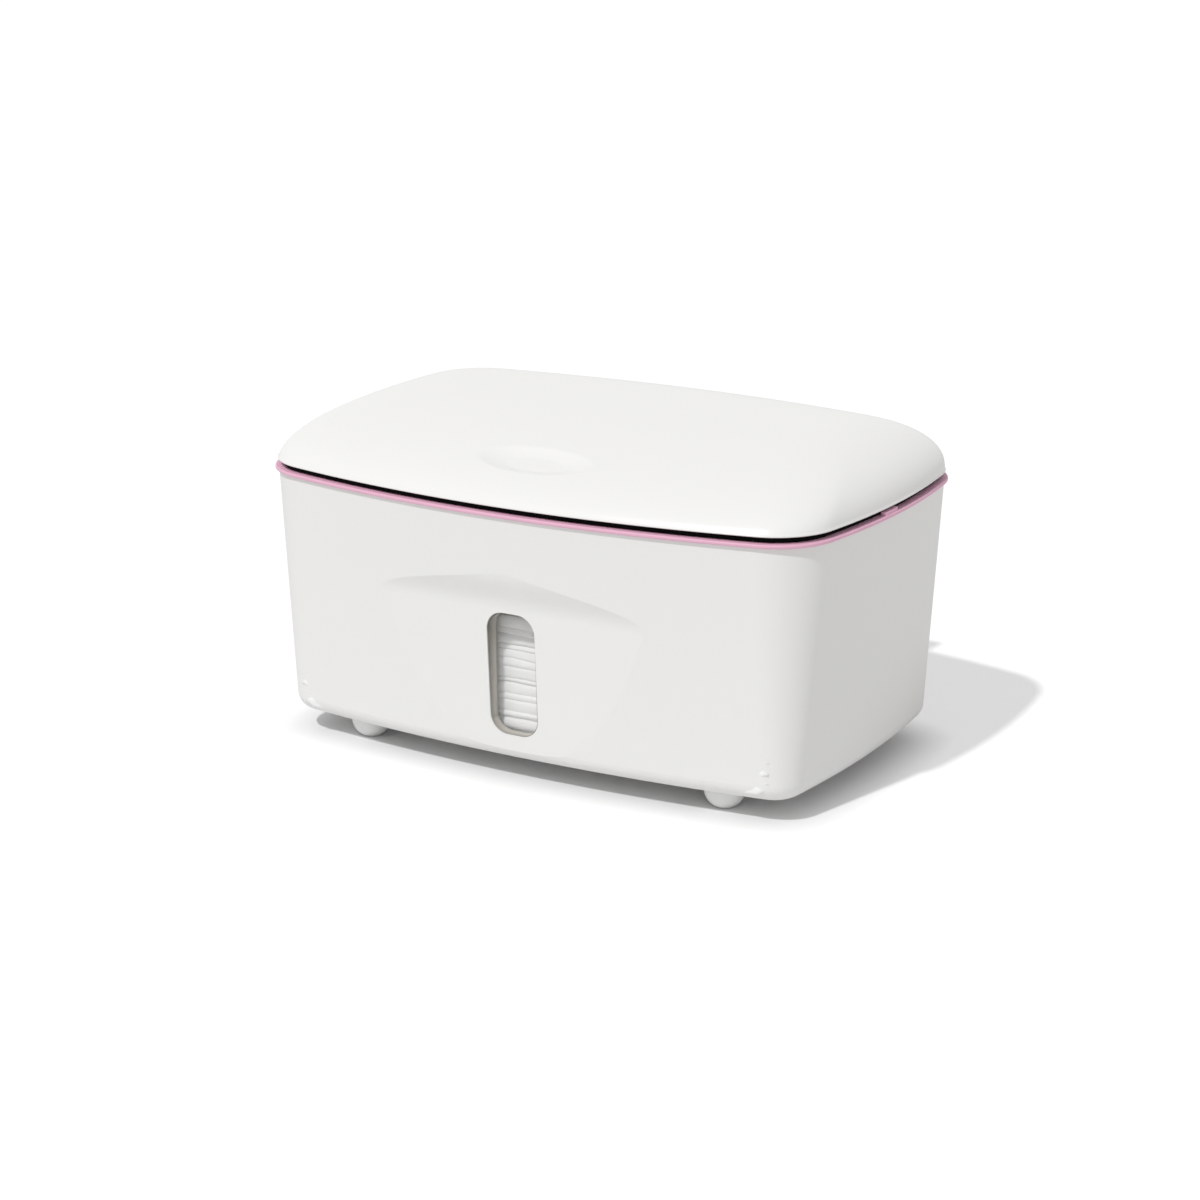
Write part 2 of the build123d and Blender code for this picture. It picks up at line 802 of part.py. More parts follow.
for name, (x, y) in zip(foot_names, foot_places):
    parts[name] = make_foot(x, y)

os.makedirs("parts", exist_ok=True)
for name, shape in parts.items():
    export_step(shape, f"parts/{name}.step")
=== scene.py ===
# %% [markdown]
# # A wipes dispenser, dressed and lit
#
# The construction model already gives every piece its real size and place. This lesson adds
# what the eye wants: satin plastic, soft silicone, folded wipes behind the window, wound
# springs, and the plain light of a product photograph. Everything is in metres.

# %% Load the construction model
import bmesh
import bpy
import math
import random
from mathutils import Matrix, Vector, noise


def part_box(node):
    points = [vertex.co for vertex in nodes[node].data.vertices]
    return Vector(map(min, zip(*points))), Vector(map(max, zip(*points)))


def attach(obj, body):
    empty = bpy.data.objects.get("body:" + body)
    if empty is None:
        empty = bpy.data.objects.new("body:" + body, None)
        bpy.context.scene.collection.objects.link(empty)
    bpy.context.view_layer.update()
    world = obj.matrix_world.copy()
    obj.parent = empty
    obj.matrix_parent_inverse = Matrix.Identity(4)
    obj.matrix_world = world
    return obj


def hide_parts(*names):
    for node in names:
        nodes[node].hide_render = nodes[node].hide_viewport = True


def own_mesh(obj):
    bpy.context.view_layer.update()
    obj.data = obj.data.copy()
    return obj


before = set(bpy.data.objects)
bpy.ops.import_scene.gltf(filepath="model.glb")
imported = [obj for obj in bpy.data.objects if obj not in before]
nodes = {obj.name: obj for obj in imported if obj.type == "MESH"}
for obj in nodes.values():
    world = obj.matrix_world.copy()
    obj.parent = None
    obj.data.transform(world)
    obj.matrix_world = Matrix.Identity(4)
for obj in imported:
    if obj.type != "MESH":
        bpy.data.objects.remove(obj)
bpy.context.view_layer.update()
print("pieces from the construction model:", len(nodes))

# %% [markdown]
# ## Shader maths as Python
#
# A moulded surface is never quite one colour, so each finish needs a little arithmetic on
# noise textures. Wiring Math nodes by hand hides the formula. This class wraps a socket, so
# that `0.3 + marks * 0.1` adds the Math nodes and the formula stays readable.

# %% A socket that Python can calculate with
class Value:
    """An output socket of a shader that can be added, multiplied and raised to a power."""

    def __init__(self, shader, socket):
        self.shader = shader
        self.socket = socket

    def calculate(self, operation, first, second):
        return self.shader.node("ShaderNodeMath", {"operation": operation}, {0: first, 1: second})

    def __add__(self, other):
        return self.calculate("ADD", self, other)

    def __mul__(self, other):
        return self.calculate("MULTIPLY", self, other)

    def __pow__(self, other):
        return self.calculate("POWER", self, other)

    __radd__ = __add__
    __rmul__ = __mul__


# A Mix node keeps one set of sockets for each kind of data, so its colours are found by place.
MIX_FACTOR, MIX_LOW, MIX_HIGH, MIX_RESULT = 0, 6, 7, 2


class Shader:
    """One material's node tree. Every node comes from the method 'node'."""

    def __init__(self, name):
        self.material = bpy.data.materials.new(name)
        self.material.use_nodes = True
        self.tree = self.material.node_tree
        self.tree.nodes.clear()

    def node(self, kind, settings=None, inputs=None, output=0):
        """Adds a node, sets it, feeds its sockets with values or links, and gives one output."""
        node = self.tree.nodes.new(kind)
        for key, setting in (settings or {}).items():
            if key == "stops":
                self.set_stops(node, setting)
            else:
                setattr(node, key, setting)
        for key, feed in (inputs or {}).items():
            if isinstance(feed, Value):
                self.tree.links.new(feed.socket, node.inputs[key])
            else:
                node.inputs[key].default_value = feed
        return Value(self, node.outputs[output])

    def set_stops(self, node, stops):
        """Sets a colour ramp's stops, given as (place, colour) pairs."""
        elements = node.color_ramp.elements
        while len(elements) < len(stops):
            elements.new(0.5)
        for element, (place, colour) in zip(elements, stops):
            element.position = place
            element.color = colour

    def finish(self, surface):
        """Sends a surface shader to the material's output."""
        output = self.tree.nodes.new("ShaderNodeOutputMaterial")
        self.tree.links.new(surface.socket, output.inputs["Surface"])
        return self.material

    def place(self):
        """The point in the object's own frame, in metres."""
        return self.node("ShaderNodeTexCoord", output="Object")

    def grain(self, size, detail=2.0, stretch=(1.0, 1.0, 1.0)):
        """Noise from 0 to 1 whose blotches are about 'size' metres wide."""
        scaled = self.node("ShaderNodeMapping", inputs={"Vector": self.place(), "Scale": stretch})
        feeds = {"Vector": scaled, "Scale": 0.5 / size, "Detail": detail}
        return self.node("ShaderNodeTexNoise", inputs=feeds)

    def between(self, factor, low, high):
        """Colour mixed between two colours."""
        feeds = {MIX_FACTOR: factor, MIX_LOW: low, MIX_HIGH: high}
        return self.node("ShaderNodeMix", {"data_type": "RGBA"}, feeds, output=MIX_RESULT)


def tinted(colour, gain):
    """The same colour, lighter or darker."""
    return tuple(min(1.0, channel * gain) for channel in colour[:3]) + (1.0,)


print("shader helper ready")

# %% [markdown]
# ## Camera
#
# The photograph looks down a little on the front and the right side. The view was found by
# fitting a pinhole camera to the outlines of the rim, the foot and the lid, so the camera is
# placed by its turn, its height angle and its distance from a point inside the object.

# %% Place the camera
VIEW_TURN = math.radians(30.52)
VIEW_RISE = math.radians(16.63)
VIEW_DISTANCE = 1.0165
FOCAL_LENGTH = 87.2
SENSOR_WIDTH = 36.0
AIM_SIDE = -0.0055
AIM_HEIGHT = 0.0470

towards = Vector((
    math.sin(VIEW_TURN) * math.cos(VIEW_RISE),
    -math.cos(VIEW_TURN) * math.cos(VIEW_RISE),
    math.sin(VIEW_RISE),
))
aim = Vector((math.cos(VIEW_TURN), math.sin(VIEW_TURN), 0)) * AIM_SIDE + Vector((0, 0, AIM_HEIGHT))
camera_data = bpy.data.cameras.new("camera")
camera_data.lens = FOCAL_LENGTH
camera_data.sensor_width = SENSOR_WIDTH
camera_data.sensor_fit = "HORIZONTAL"
camera_data.clip_end = 20
camera = bpy.data.objects.new("camera", camera_data)
camera.location = aim + towards * VIEW_DISTANCE
camera.rotation_euler = (-towards).to_track_quat("-Z", "Y").to_euler()
bpy.context.scene.collection.objects.link(camera)
bpy.context.scene.camera = camera
print("camera stands at", [round(v, 3) for v in camera.location])

# %% [markdown]
# ## Light
#
# The shadow in the photograph falls to the back and a little to the right, and its tip lies
# about as far behind the object as the lid is high. That gives one small lamp, high in front.
# Its soft company is an even white surround, which fills the right side. Reflections see the
# surround at full white, as they do in a white studio.

# %% Lamp and surround
SUN_FROM = Vector((-0.10, -0.72, 1.0))
SUN_STRENGTH = 1.68
SUN_ANGLE = math.radians(2.2)
SURROUND = 0.52

sun_data = bpy.data.lights.new("key", "SUN")
sun_data.energy = SUN_STRENGTH
sun_data.angle = SUN_ANGLE
sun = bpy.data.objects.new("key", sun_data)
sun.rotation_euler = SUN_FROM.to_track_quat("Z", "Y").to_euler()
bpy.context.scene.collection.objects.link(sun)

world = bpy.data.worlds.new("surround")
bpy.context.scene.world = world
world.use_nodes = True
sky = world.node_tree
sky.nodes.clear()
path = sky.nodes.new("ShaderNodeLightPath")
dim = sky.nodes.new("ShaderNodeBackground")
dim.inputs["Strength"].default_value = SURROUND
white = sky.nodes.new("ShaderNodeBackground")
white.inputs["Strength"].default_value = 1.0
for background in (dim, white):
    background.inputs["Color"].default_value = (1.0, 1.0, 1.0, 1.0)
seen = sky.nodes.new("ShaderNodeMath")
seen.operation = "MAXIMUM"
sky.links.new(path.outputs["Is Camera Ray"], seen.inputs[0])
sky.links.new(path.outputs["Is Glossy Ray"], seen.inputs[1])
choose = sky.nodes.new("ShaderNodeMixShader")
sky.links.new(seen.outputs[0], choose.inputs["Fac"])
sky.links.new(dim.outputs[0], choose.inputs[1])
sky.links.new(white.outputs[0], choose.inputs[2])
output = sky.nodes.new("ShaderNodeOutputWorld")
sky.links.new(choose.outputs[0], output.inputs["Surface"])
bpy.context.scene.view_settings.view_transform = "Standard"
print("one lamp and a white surround")

# %% [markdown]
# ## Floor
#
# The floor of a product photograph is pure white, yet it keeps the shadow. Its paint is a
# plain pale grey that takes light as any floor does. For the camera alone a little glow is
# added, enough to lift the lit paint to white. It fades where the object stands close above
# the floor, so the contact shadow stays dark. The glow never lights the object.

# %% Floor
FLOOR_HALF = 4.0
FLOOR_PAINT = (0.82, 0.82, 0.82, 1.0)
FLOOR_GLOW = 0.28
GLOW_REACH = 0.016
GLOW_FADE = 2.2
OPENNESS_SAMPLES = 8


def floor_paint():
    """Pale paint with a glow that only the camera sees, faded where the object stands close."""
    s = Shader("floor_paint")
    paint = s.node("ShaderNodeBsdfDiffuse", inputs={"Color": FLOOR_PAINT})
    glow = s.node("ShaderNodeEmission", inputs={"Strength": FLOOR_GLOW})
    both = s.node("ShaderNodeAddShader", inputs={0: paint, 1: glow})
    seen = s.node("ShaderNodeLightPath", output="Is Camera Ray")
    openness = s.node(
        "ShaderNodeAmbientOcclusion", {"samples": OPENNESS_SAMPLES}, {"Distance": GLOW_REACH}, output="AO",
    )
    share = seen * openness ** GLOW_FADE
    return s.finish(s.node("ShaderNodeMixShader", inputs={0: share, 1: paint, 2: both}))


def link_mesh(name, mesh, material, body=None):
    """Makes an object of a mesh, smooth shaded, and lets it ride on a body."""
    thing = bpy.data.objects.new(name, mesh)
    bpy.context.scene.collection.objects.link(thing)
    mesh.materials.append(material)
    for face in mesh.polygons:
        face.use_smooth = True
    if body:
        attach(thing, body)
    return thing


floor_mesh = bpy.data.meshes.new("floor")
corners = [(x * FLOOR_HALF, y * FLOOR_HALF, 0) for x, y in ((-1, -1), (1, -1), (1, 1), (-1, 1))]
floor_mesh.from_pydata(corners, [], [(0, 1, 2, 3)])
floor = link_mesh("floor", floor_mesh, floor_paint())

# %% [markdown]
# ## Finishes
#
# White moulded plastic shows its making in three scales: a faint cloudiness over centimetres
# where the melt cooled unevenly, a roughness that wanders a little, and a fine spark-eroded
# grain that only catches the light. One function makes them all, and each piece chooses how
# much of each it has.

# %% Moulded plastic
GRAIN = 0.0004
CLOUD_ROUGHNESS, GRAIN_ROUGHNESS = 0.08, 0.05
PLASTIC_IOR = 1.49


def moulded(name, colour, rough, cloud, cloud_size=0.03, grain_depth=0.00001, shine=0.5):
    """Moulded plastic or rubber: cloudy colour, wandering roughness and a fine grain."""
    s = Shader(name)
    cloudiness = s.grain(cloud_size, detail=3.0)
    fine = s.grain(GRAIN, detail=2.0)
    mixed = s.between(cloudiness, tinted(colour, 1 - cloud), tinted(colour, 1 + cloud))
    roughness = cloudiness * CLOUD_ROUGHNESS + fine * GRAIN_ROUGHNESS
    roughness += rough - (CLOUD_ROUGHNESS + GRAIN_ROUGHNESS) / 2
    bump = s.node("ShaderNodeBump", inputs={"Strength": 0.6, "Distance": grain_depth, "Height": fine})
    surface = s.node("ShaderNodeBsdfPrincipled", inputs={
        "Base Color": mixed, "Roughness": roughness, "Normal": bump,
        "IOR": PLASTIC_IOR, "Specular IOR Level": shine,
    })
    return s.finish(surface)


def clear_plastic():
    """Thin clear pane: nearly nothing but its gloss, with faint wiping marks."""
    s = Shader("clear_pane")
    marks = s.grain(0.004, detail=3.0, stretch=(1.0, 1.0, 0.25))
    surface = s.node("ShaderNodeBsdfPrincipled", inputs={
        "Base Color": (0.93, 0.94, 0.94, 1.0), "IOR": 1.5,
        "Roughness": marks * 0.10 + 0.03, "Alpha": marks * 0.03 + 0.07,
    })
    return s.finish(surface)


def drawn_steel():
    """Steel with fine marks along its length."""
    s = Shader("drawn_steel")
    marks = s.grain(0.0002, detail=3.0, stretch=(0.08, 1.0, 1.0))
    colour = s.node("ShaderNodeValToRGB", {"stops": [
        (0.25, (0.40, 0.41, 0.43, 1.0)), (0.75, (0.66, 0.67, 0.69, 1.0)),
    ]}, {"Fac": marks})
    bump = s.node("ShaderNodeBump", inputs={"Strength": 0.5, "Distance": 0.00001, "Height": marks})
    surface = s.node("ShaderNodeBsdfPrincipled", inputs={
        "Base Color": colour, "Metallic": 1.0, "Roughness": marks * 0.2 + 0.22, "Normal": bump,
    })
    return s.finish(surface)


def wipe_cloth():
    """Moist non-woven cloth: fine tangled fibres and blotches where it is damp."""
    s = Shader("wipe_cloth")
    fibres = s.grain(0.0003, detail=4.0, stretch=(0.35, 1.0, 1.0))
    damp = s.grain(0.006, detail=2.0)
    colour = s.between(fibres * 0.6 + damp * 0.4, (0.88, 0.88, 0.87, 1.0), (0.97, 0.97, 0.965, 1.0))
    bump = s.node("ShaderNodeBump", inputs={"Strength": 0.8, "Distance": 0.00012, "Height": fibres})
    surface = s.node("ShaderNodeBsdfPrincipled", inputs={
        "Base Color": colour, "Roughness": damp * 0.2 + 0.6, "Normal": bump, "Sheen Weight": 0.15,
    })
    return s.finish(surface)


WHITE = (0.862, 0.858, 0.842)
INNER_WHITE = (0.84, 0.84, 0.825)
OFF_WHITE = (0.78, 0.78, 0.75)
FOOT_WHITE = (0.86, 0.86, 0.85)
PINK = (0.80, 0.46, 0.60)
GAP_SHADE_BLACK = (0.004, 0.004, 0.004)
shell_finish = moulded("white_satin", WHITE, 0.42, cloud=0.006, grain_depth=0.000006)
lid_finish = moulded("white_gloss", WHITE, 0.30, cloud=0.005, grain_depth=0.000003)
inner_finish = moulded("white_matte", INNER_WHITE, 0.55, cloud=0.012, grain_depth=0.00002)
latch_finish = moulded("acetal", OFF_WHITE, 0.45, cloud=0.015)
pink_finish = moulded("pink_silicone", PINK, 0.58, cloud=0.03, cloud_size=0.012)
# The seal lip under the lid is near black as painted shade: it stands in for the shadow in the gap between
# lid and rim.
gap_shade_finish = moulded("dark_silicone", GAP_SHADE_BLACK, 0.8, cloud=0.10, grain_depth=0.00002, shine=0.08)
foot_finish = moulded("soft_foot", FOOT_WHITE, 0.62, cloud=0.015, grain_depth=0.00002)
steel_finish = drawn_steel()
pane_finish = clear_plastic()
cloth_finish = wipe_cloth()
print("finishes:", len(bpy.data.materials))

# %% Give each construction piece its finish
finishes = {
    "box_shell": shell_finish, "lid_cover": lid_finish, "hinge_bracket": shell_finish,
    "spring_cover": shell_finish, "window_pane": pane_finish, "rim_seal": pink_finish,
    "slot_lip": pink_finish, "seal_lip": gap_shade_finish, "lid_liner": inner_finish,
    "plate_cover": inner_finish, "plate_base": inner_finish, "latch_housing": latch_finish,
    "latch_slider": latch_finish, "lid_striker": latch_finish, "top_wipe": cloth_finish,
    "wipes_stack": cloth_finish,
}
for name, piece in nodes.items():
    finish = foot_finish if name.startswith("foot_") else finishes.get(name, steel_finish)
    piece.data.materials.clear()
    piece.data.materials.append(finish)
print("dressed", len(nodes), "pieces")

# %% [markdown]
# ## The lid
#
# The lid is a low pillow. Its outline is eight tangent arcs, and it shrinks as it rises: the
# sides come in late, so they look full, and the front comes in early, so it slopes gently.
# Stacking rings made by one formula gives smooth even quads, which carry reflections better
# than a remeshed solid would. A second, smaller stack makes the inner face.

# %% Outline of eight arcs
MM = 0.001
FRONT_BOW, BACK_BOW, SIDE_BOW = 15.7 * MM, 19.0 * MM, 9.4 * MM
BOWS = FRONT_BOW, BACK_BOW, SIDE_BOW
RIM_CORNER = 23 * MM
ARC_STEPS = {"front": 72, "corner": 20, "side": 36, "back": 48}


def extent(name):
    """Low and high corner of a construction piece."""
    low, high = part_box(name)
    return Vector(low), Vector(high)


def bow_radius(half, bow):
    """Radius of an arc that bows out by 'bow' over twice 'half'."""
    return (half * half + bow * bow) / (2 * bow)


def corner_arc(half_x, half_y, long_radius, short_radius, corner):
    """Start, middle and end of the arc that rounds a corner, in the first quadrant."""
    low, left = half_y - long_radius, half_x - short_radius
    gap = math.hypot(left, low)
    along = ((long_radius - corner) ** 2 - (short_radius - corner) ** 2 + gap ** 2) / (2 * gap)
    across = math.sqrt((long_radius - corner) ** 2 - along ** 2)
    x = (left * along - low * across) / gap
    y = low + (-low * along - left * across) / gap
    start, end = math.atan2(y - low, x), math.atan2(y, x - left)
    return [(x + corner * math.cos(t), y + corner * math.sin(t)) for t in (start, (start + end) / 2, end)]


def arc(first, middle, last, count):
    """Points along the circle through three points, without the last one."""
    (ax, ay), (bx, by), (cx, cy) = first, middle, last
    d = 2 * (ax * (by - cy) + bx * (cy - ay) + cx * (ay - by))
    a2, b2, c2 = ax * ax + ay * ay, bx * bx + by * by, cx * cx + cy * cy
    ux = (a2 * (by - cy) + b2 * (cy - ay) + c2 * (ay - by)) / d
    uy = (a2 * (cx - bx) + b2 * (ax - cx) + c2 * (bx - ax)) / d
    start = math.atan2(ay - uy, ax - ux)
    sweep = (math.atan2(cy - uy, cx - ux) - start) % math.tau
    if (math.atan2(by - uy, bx - ux) - start) % math.tau > sweep:
        sweep -= math.tau
    radius = math.hypot(ax - ux, ay - uy)
    turns = [start + sweep * i / count for i in range(count)]
    return [(ux + radius * math.cos(t), uy + radius * math.sin(t)) for t in turns]


def outline(half_x, half_y, bows, corner, inset=0.0):
    """Closed outline of eight tangent arcs about the origin, front first."""
    front_bow, back_bow, side_bow = bows
    side = bow_radius(half_y, side_bow) - inset
    x, y = half_x - inset, half_y - inset
    f = corner_arc(x, y, bow_radius(half_x, front_bow) - inset, side, corner - inset)
    b = corner_arc(x, y, bow_radius(half_x, back_bow) - inset, side, corner - inset)
    front = [(px, -py) for px, py in f]
    left = [(-px, py) for px, py in b]
    n = ARC_STEPS
    points = arc((-front[0][0], front[0][1]), (0, -y), front[0], n["front"])
    points += arc(*front, n["corner"]) + arc(front[2], (x, 0), b[2], n["side"])
    points += arc(b[2], b[1], b[0], n["corner"]) + arc(b[0], (0, y), left[0], n["back"])
    points += arc(*left, n["corner"]) + arc(left[2], (-x, 0), (-front[2][0], front[2][1]), n["side"])
    points += arc(*[(-px, py) for px, py in reversed(front)], n["corner"])
    return points


print("points round an outline:", len(outline(0.11, 0.073, BOWS, RIM_CORNER)))

# %% Rings of the lid
LID_RISE = 18.3 * MM
LID_WALL = 2.2 * MM
OVERHANG = 1.0 * MM
SIDE_ROLL, SIDE_POWER = 40 * MM, 1.15
FRONT_ROLL, FRONT_POWER = 86 * MM, 0.85
EDGE_ROUND = 0.45 * MM
FLARE, FLARE_HEIGHT = 0.3 * MM, 1.6 * MM
LID_RINGS = 48
EDGE_STEPS = 3

rim_low, rim_high = extent("rim_seal")
lid_high = extent("lid_cover")[1]
RIM_SHIFT = (rim_low.y + rim_high.y) / 2
RIM_DEPTH = rim_high.y - rim_low.y
LID_EDGE = lid_high.z - LID_RISE


def lid_sizes(turn, wall=0.0):
    """Half sizes, shift in Y, share of the rim and height of the lid's ring at a turn."""
    roll = 1 - math.cos(turn)
    side = OVERHANG + SIDE_ROLL * roll ** SIDE_POWER + wall
    front = OVERHANG + FRONT_ROLL * roll ** FRONT_POWER + wall
    half_y = (RIM_DEPTH - front - side) / 2
    height = LID_EDGE + (LID_RISE - wall) * math.sin(turn)
    return rim_high.x - side, half_y, RIM_SHIFT + (front - side) / 2, 2 * half_y / RIM_DEPTH, height


def lid_ring(turn, wall=0.0, inset=0.0, lift=0.0):
    """One ring of the lid; 'inset' and 'lift' move it in and up."""
    half_x, half_y, shift, share, height = lid_sizes(turn, wall)
    corner = min(RIM_CORNER * half_x / rim_high.x, 0.7 * half_y)
    points = outline(half_x, half_y, [bow * share for bow in BOWS], corner, inset)
    return [Vector((x, y + shift, height + lift)) for x, y in points]


def bridge(mesh, rings):
    """Quads between rings with as many points each; gives the rings as vertices."""
    made = [[mesh.verts.new(point) for point in ring] for ring in rings]
    for below, above in zip(made, made[1:]):
        for i in range(len(below)):
            j = (i + 1) % len(below)
            mesh.faces.new((below[i], below[j], above[j], above[i]))
    return made


def lid_surface():
    """The lid's outer and inner faces with a rounded, slightly flared lower edge."""
    mesh = bmesh.new()
    turns = [math.pi / 2 * i / LID_RINGS for i in range(1, LID_RINGS + 1)]
    rings = [lid_ring(turn, LID_WALL) for turn in reversed(turns[::2] + turns[-1:])]
    rings += [lid_ring(0, LID_WALL, lift=0.2 * MM)]
    for step in range(EDGE_STEPS + 1):
        lean = math.pi / 2 * step / EDGE_STEPS
        inset = EDGE_ROUND * (1 - math.sin(lean)) - FLARE
        rings.append(lid_ring(0, 0, inset, EDGE_ROUND * (1 - math.cos(lean))))
    for turn in turns:
        lift = lid_sizes(turn)[4] - LID_EDGE
        flare = FLARE * max(0.0, 1 - lift / FLARE_HEIGHT) ** 2
        rings.append(lid_ring(turn, 0, -flare))
    made = bridge(mesh, rings)
    mesh.faces.new(made[0][::-1])
    mesh.faces.new(made[-1])
    bmesh.ops.recalc_face_normals(mesh, faces=mesh.faces)
    return mesh


lid_mesh = lid_surface()
print("lid points:", len(lid_mesh.verts))

# %% [markdown]
# ## The finger dimple
#
# The dimple is a shallow oval pressed into the sloping front of the lid. A boolean would
# leave long thin faces round its rim. Here the faces near it are divided finely, put back on
# the lid's true curve, and then lowered to a flattened ball with a smooth minimum, which
# rounds the rim as a mould does.

# %% Press the dimple
DIMPLE_HALF_X, DIMPLE_HALF_Y, DIMPLE_DEPTH = 19.5 * MM, 8.5 * MM, 2.0 * MM
DIMPLE_AT = Vector((0, RIM_SHIFT - RIM_DEPTH / 2 + 24 * MM, lid_high.z - 7.5 * MM))
DIMPLE_TILT = math.radians(15)
DIMPLE_RIM = 0.35 * MM
DIMPLE_CUTS = 5
FACING_UP = 0.3
HALVINGS = 40


def front_height(x, y):
    """Height of the lid's front slope above a point, found by halving."""
    low, high = 0.0, math.pi / 2
    for _ in range(HALVINGS):
        turn = (low + high) / 2
        half_x, half_y, shift, share, height = lid_sizes(turn)
        radius = bow_radius(half_x, FRONT_BOW * share)
        edge = shift - half_y + radius - math.sqrt(radius * radius - x * x)
        low, high = (turn, high) if edge < y else (low, turn)
    return height


def press_dimple(mesh):
    """Divides the lid's faces round the dimple and lowers them into it."""
    near = [
        face for face in mesh.faces
        if face.normal.z > FACING_UP and abs(face.calc_center_median().x) < 1.3 * DIMPLE_HALF_X
        and abs(face.calc_center_median().y - DIMPLE_AT.y) < 1.6 * DIMPLE_HALF_Y
        and len(face.verts) == 4
    ]
    edges = list({edge for face in near for edge in face.edges})
    bmesh.ops.subdivide_edges(mesh, edges=edges, cuts=DIMPLE_CUTS, use_grid_fill=True)
    radius = bow_radius(DIMPLE_HALF_X, DIMPLE_DEPTH)
    across = Vector((0, math.cos(DIMPLE_TILT), math.sin(DIMPLE_TILT)))
    up = Vector((0, -math.sin(DIMPLE_TILT), math.cos(DIMPLE_TILT)))
    lowered = 0
    for vert in mesh.verts:
        flat = vert.co - DIMPLE_AT
        beside = abs(flat.x) > 1.4 * DIMPLE_HALF_X or abs(flat.y) > 1.8 * DIMPLE_HALF_Y
        if beside or vert.normal.z < FACING_UP:
            continue
        vert.co.z = front_height(vert.co.x, vert.co.y)
        local = vert.co - DIMPLE_AT
        u, v, w = local.x, local.dot(across) * DIMPLE_HALF_X / DIMPLE_HALF_Y, local.dot(up)
        if u * u + v * v > (1.35 * DIMPLE_HALF_X) ** 2:
            continue
        bowl = radius - DIMPLE_DEPTH - math.sqrt(radius * radius - u * u - v * v)
        overlap = max(DIMPLE_RIM - abs(w - bowl), 0) / DIMPLE_RIM
        vert.co += up * (min(w, bowl) - overlap * overlap * DIMPLE_RIM / 4 - w)
        lowered += 1
    return lowered


lid_mesh.normal_update()
print("points in the dimple:", press_dimple(lid_mesh))

# %% [markdown]
# ## The hinge knuckles of the lid
#
# Two round knuckles and their webs belong to the lid's moulding. Each is a teardrop profile,
# pushed along the pin and bevelled at its ends, in the same mesh as the lid.

# %% Knuckles
KNUCKLE_RADIUS = 4.8 * MM
KNUCKLE_LENGTH = 23.4 * MM
KNUCKLE_START = 35.9 * MM
KNUCKLE_BEVEL = 0.4 * MM
WEB_FRONT, WEB_TOP = 65.5 * MM, 6.6 * MM
pin_low, pin_high = extent("hinge_pin")
PIN_Y, PIN_Z = (pin_low.y + pin_high.y) / 2, (pin_low.z + pin_high.z) / 2


def knuckle(mesh, x_low, x_high):
    """One knuckle with its web, from x_low to x_high."""
    top = LID_EDGE + WEB_TOP - PIN_Z
    turns = [math.radians(angle) for angle in range(-145, 146, 10)]
    rim = [(PIN_Y + KNUCKLE_RADIUS * math.cos(t), PIN_Z + KNUCKLE_RADIUS * math.sin(t)) for t in turns]
    profile = [(WEB_FRONT, LID_EDGE + 0.3 * MM)] + rim + [(WEB_FRONT, PIN_Z + top)]
    ends = [[mesh.verts.new((x, y, z)) for y, z in profile] for x in (x_low, x_high)]
    faces = [mesh.faces.new(ends[0]), mesh.faces.new(ends[1][::-1])]
    for i in range(len(profile)):
        j = (i + 1) % len(profile)
        faces.append(mesh.faces.new((ends[0][j], ends[0][i], ends[1][i], ends[1][j])))
    bmesh.ops.recalc_face_normals(mesh, faces=faces)
    rims = [edge for face in faces[:2] for edge in face.edges]
    bmesh.ops.bevel(mesh, geom=rims, offset=KNUCKLE_BEVEL, segments=3, profile=0.6, affect="EDGES")


knuckle(lid_mesh, -KNUCKLE_START, KNUCKLE_LENGTH - KNUCKLE_START)
knuckle(lid_mesh, KNUCKLE_START - KNUCKLE_LENGTH, KNUCKLE_START)


def to_mesh(made, name):
    """Turns a bmesh into mesh data."""
    data = bpy.data.meshes.new(name)
    made.to_mesh(data)
    made.free()
    return data


lid = link_mesh("lid_shell", to_mesh(lid_mesh, "lid_shell"), lid_finish, "lid")
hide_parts("lid_cover")
print("lid faces:", len(lid.data.polygons))

# %% [markdown]
# ## The window's edge
#
# The clear pane is bonded behind the wall, so the opening is a short recess whose walls lie
# in shade. A thin lining carries that shade as painted colour: dark taupe at the front
# edge, paler with depth.

# %% Lining of the window, painted with the recess's shade
WINDOW_WIDTH, WINDOW_LOW, WINDOW_HIGH, WINDOW_CORNER = 18.6 * MM, 17 * MM, 60 * MM, 6.5 * MM
LINING, LINING_STEPS = 0.32 * MM, 14
FACE_LOW, FACE_HIGH = Vector((0, -66.2 * MM, 7.5 * MM)), Vector((0, -68.84 * MM, 61 * MM))
pane_front = extent("window_pane")[0].y


def face_y(height):
    """Y of the box's front face at a height, on its flat."""
    return FACE_LOW.y + (FACE_HIGH.y - FACE_LOW.y) * (height - FACE_LOW.z) / (FACE_HIGH.z - FACE_LOW.z)


def rounded(inset):
    """Rounded upright rectangle of the window, moved in by 'inset', as (x, z) pairs."""
    radius = WINDOW_CORNER - inset
    x = WINDOW_WIDTH / 2 - inset - radius
    low, high = WINDOW_LOW + inset + radius, WINDOW_HIGH - inset - radius
    points = []
    for quarter, (cx, cz) in enumerate([(x, high), (-x, high), (-x, low), (x, low)]):
        for step in range(LINING_STEPS + 1):
            t = math.pi / 2 * (quarter + step / LINING_STEPS)
            points.append((cx + radius * math.cos(t), cz + radius * math.sin(t)))
    return points


